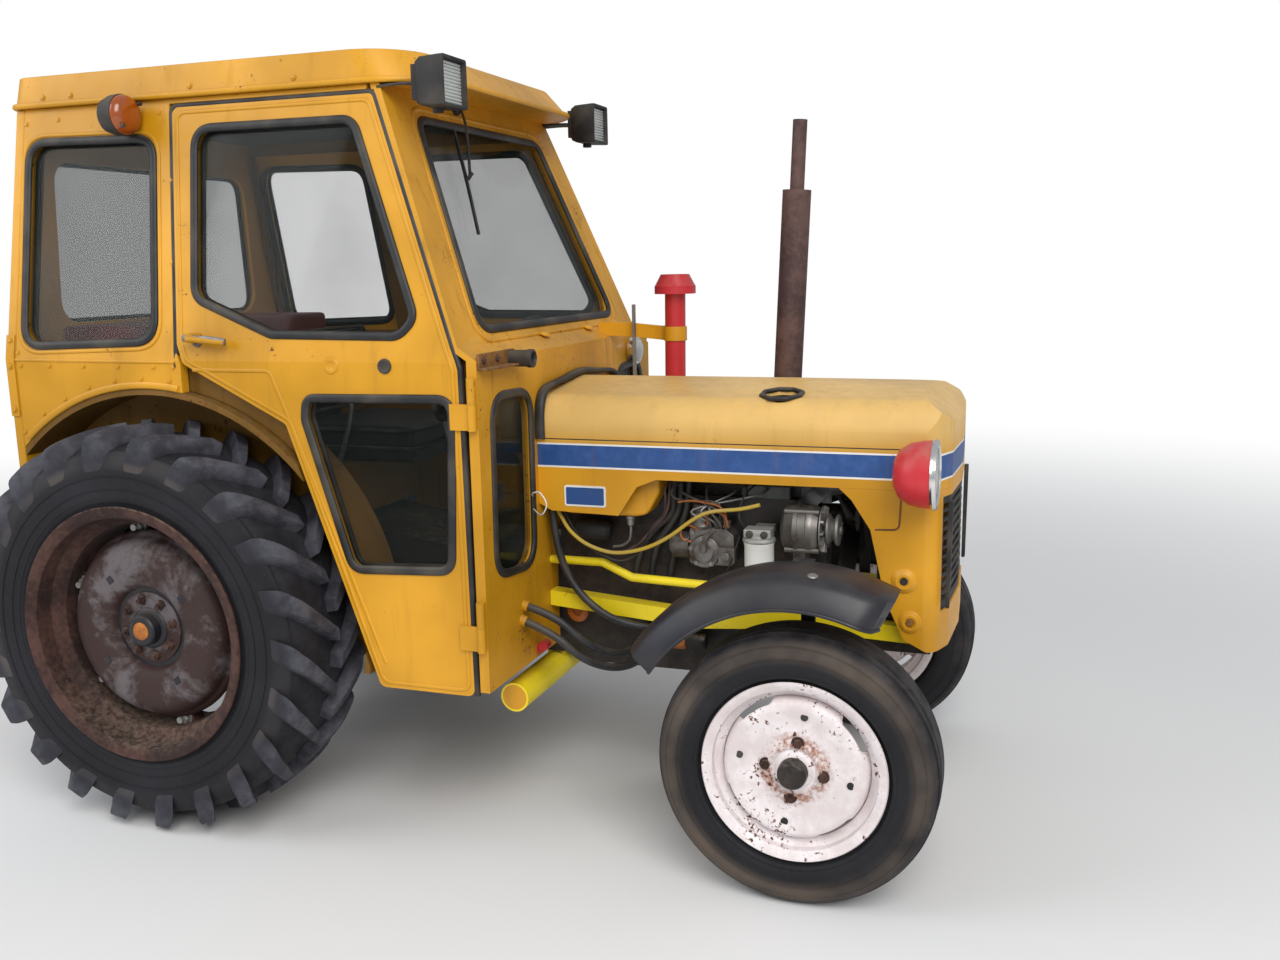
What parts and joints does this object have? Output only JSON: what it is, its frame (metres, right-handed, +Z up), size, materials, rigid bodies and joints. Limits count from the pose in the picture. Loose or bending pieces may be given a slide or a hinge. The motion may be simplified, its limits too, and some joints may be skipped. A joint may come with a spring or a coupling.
{
  "type": "compact farm tractor with cab",
  "caption": "Compact farm tractor with an enclosed cab, open-sided engine bay, lugged rear tyres and rear linkage",
  "frame": {"origin": "on the ground under the middle of the machine's box", "axes": "+X forward along the machine, its longest way; +Y to the driver's left; +Z up"},
  "size_m": [2.751, 1.482, 1.93],
  "materials": {
    "yellow_paint": "worn gloss paint with rust spots",
    "bright_yellow_paint": "fresh gloss paint",
    "red_paint": "gloss paint",
    "cast_dark": "oily and dusty",
    "rusty_steel": "rusted",
    "white_paint": "chipped paint with rust specks",
    "grey_metal": "dull",
    "tyre_rubber": "weathered",
    "black_plastic": "matt",
    "black_vinyl": "worn vinyl",
    "glass": "dusty clear",
    "amber": "clear amber"
  },
  "bodies": {
    "chassis": {"gearbox": "cast_dark", "rear_axle_housings": "cast_dark", "engine": "cast_dark", "front_bolster": "cast_dark", "frame_rails": "bright_yellow_paint", "front_axle": "rusty_steel", "quarter_panels": "yellow_paint", "cab_frame": "yellow_paint", "cab_rear": "yellow_paint", "cab_front": "yellow_paint", "cab_glass": "glass", "cab_floor": "yellow_paint", "fenders": "yellow_paint", "roof": "yellow_paint", "hood": "yellow_paint", "nose_cowl": "yellow_paint", "grille": "black_plastic", "radiator": "cast_dark", "fuel_tank": "yellow_paint", "alternator": "grey_metal", "injection_pump": "grey_metal", "fuel_filter": "white_paint", "exhaust": "rusty_steel", "intake_stack": "red_paint", "headlamps": "red_paint", "work_lamps": "black_plastic", "side_lamps": "amber", "seat_cushions": "black_vinyl", "seat_base": "cast_dark", "dashboard": "black_plastic", "drawbar": "rusty_steel", "top_link_bracket": "cast_dark", "upper_hose": "tyre_rubber", "lower_hose": "tyre_rubber", "rail_hose": "tyre_rubber"},
    "rear_wheel_left": {"rear_rim_left": "rusty_steel", "rear_tyre_left": "tyre_rubber"},
    "knuckle_left": {"knuckle_left": "rusty_steel", "front_mudguard_left": "black_plastic"},
    "front_wheel_left": {"front_rim_left": "white_paint", "front_tyre_left": "tyre_rubber"},
    "door_left": {"door_left": "yellow_paint", "door_glass_left": "glass"},
    "lower_link_left": {"lower_link_left": "rusty_steel"},
    "lift_rod_left": {"lift_rod_left": "rusty_steel"},
    "rear_wheel_right": {"rear_rim_right": "rusty_steel", "rear_tyre_right": "tyre_rubber"},
    "knuckle_right": {"knuckle_right": "rusty_steel", "front_mudguard_right": "black_plastic"},
    "front_wheel_right": {"front_rim_right": "white_paint", "front_tyre_right": "tyre_rubber"},
    "door_right": {"door_right": "yellow_paint", "door_glass_right": "glass"},
    "lower_link_right": {"lower_link_right": "rusty_steel"},
    "lift_rod_right": {"lift_rod_right": "rusty_steel"},
    "track_rod": {"track_rod": "rusty_steel"},
    "steering_wheel": {"steering_wheel": "black_plastic"},
    "fan": {"fan": "cast_dark"},
    "pto_shaft": {"pto_shaft": "grey_metal"},
    "lift_arms": {"lift_arms": "rusty_steel"}
  },
  "joints": [
    {"name": "rear_wheel_left_spin", "type": "hinge", "parent": "chassis", "child": "rear_wheel_left", "pos_m": [-0.58949, 0.6, 0.524], "axis": [0, 1, 0], "continuous": true},
    {"name": "front_wheel_left_spin", "type": "hinge", "parent": "knuckle_left", "child": "front_wheel_left", "pos_m": [1.06151, 0.535, 0.314], "axis": [0, 1, 0], "continuous": true},
    {"name": "door_left_hinge", "type": "hinge", "parent": "chassis", "child": "door_left", "pos_m": [0.32551, 0.612, 0.8], "axis": [0, 0, -1], "range_deg": [0, 80]},
    {"name": "rear_wheel_right_spin", "type": "hinge", "parent": "chassis", "child": "rear_wheel_right", "pos_m": [-0.58949, -0.6, 0.524], "axis": [0, 1, 0], "continuous": true},
    {"name": "front_wheel_right_spin", "type": "hinge", "parent": "knuckle_right", "child": "front_wheel_right", "pos_m": [1.06151, -0.535, 0.314], "axis": [0, 1, 0], "continuous": true},
    {"name": "door_right_hinge", "type": "hinge", "parent": "chassis", "child": "door_right", "pos_m": [0.32551, -0.612, 0.8], "axis": [0, 0, 1], "range_deg": [0, 80]},
    {"name": "steering_right", "type": "hinge", "parent": "chassis", "child": "knuckle_right", "pos_m": [1.06151, -0.42, 0.314], "axis": [0, 0, 1], "range_deg": [-35, 35]},
    {"name": "steering_left", "type": "hinge", "parent": "chassis", "child": "knuckle_left", "pos_m": [1.06151, 0.42, 0.314], "axis": [0, 0, 1], "range_deg": [-35, 35]},
    {"name": "track_rod_pivot", "type": "hinge", "parent": "knuckle_right", "child": "track_rod", "pos_m": [0.93151, -0.42, 0.285], "axis": [0, 0, 1], "range_deg": [-35, 35]},
    {"name": "steering_wheel_turn", "type": "hinge", "parent": "chassis", "child": "steering_wheel", "pos_m": [0.09801, 0, 1.1225], "axis": [-0.7071, 0, 0.7071], "range_deg": [-490, 490]},
    {"name": "fan_spin", "type": "hinge", "parent": "chassis", "child": "fan", "pos_m": [1.09051, 0, 0.77], "axis": [1, 0, 0], "continuous": true},
    {"name": "pto_spin", "type": "hinge", "parent": "chassis", "child": "pto_shaft", "pos_m": [-0.84449, 0, 0.56], "axis": [1, 0, 0], "continuous": true},
    {"name": "lift", "type": "hinge", "parent": "chassis", "child": "lift_arms", "pos_m": [-0.80449, 0, 0.7], "axis": [0, 1, 0], "range_deg": [-5, 35]},
    {"name": "lower_link_left_pivot", "type": "hinge", "parent": "chassis", "child": "lower_link_left", "pos_m": [-0.71949, 0.204, 0.39], "axis": [0, 1, 0], "range_deg": [-5, 35]},
    {"name": "lift_rod_left_pivot", "type": "hinge", "parent": "lift_arms", "child": "lift_rod_left", "pos_m": [-1.02947, 0.228, 0.65218], "axis": [0, 1, 0], "range_deg": [-35, 5]},
    {"name": "lower_link_right_pivot", "type": "hinge", "parent": "chassis", "child": "lower_link_right", "pos_m": [-0.71949, -0.204, 0.39], "axis": [0, 1, 0], "range_deg": [-5, 35]},
    {"name": "lift_rod_right_pivot", "type": "hinge", "parent": "lift_arms", "child": "lift_rod_right", "pos_m": [-1.02947, -0.228, 0.65218], "axis": [0, 1, 0], "range_deg": [-35, 5]}
  ],
  "couplings": [
    {"joint": "steering_left", "follows": "steering_right", "ratio": 1},
    {"joint": "track_rod_pivot", "follows": "steering_right", "ratio": -1},
    {"joint": "steering_wheel_turn", "follows": "steering_right", "ratio": 14},
    {"joint": "lower_link_left_pivot", "follows": "lift", "ratio": 1},
    {"joint": "lift_rod_left_pivot", "follows": "lift", "ratio": -1},
    {"joint": "lower_link_right_pivot", "follows": "lift", "ratio": 1},
    {"joint": "lift_rod_right_pivot", "follows": "lift", "ratio": -1}
  ]
}
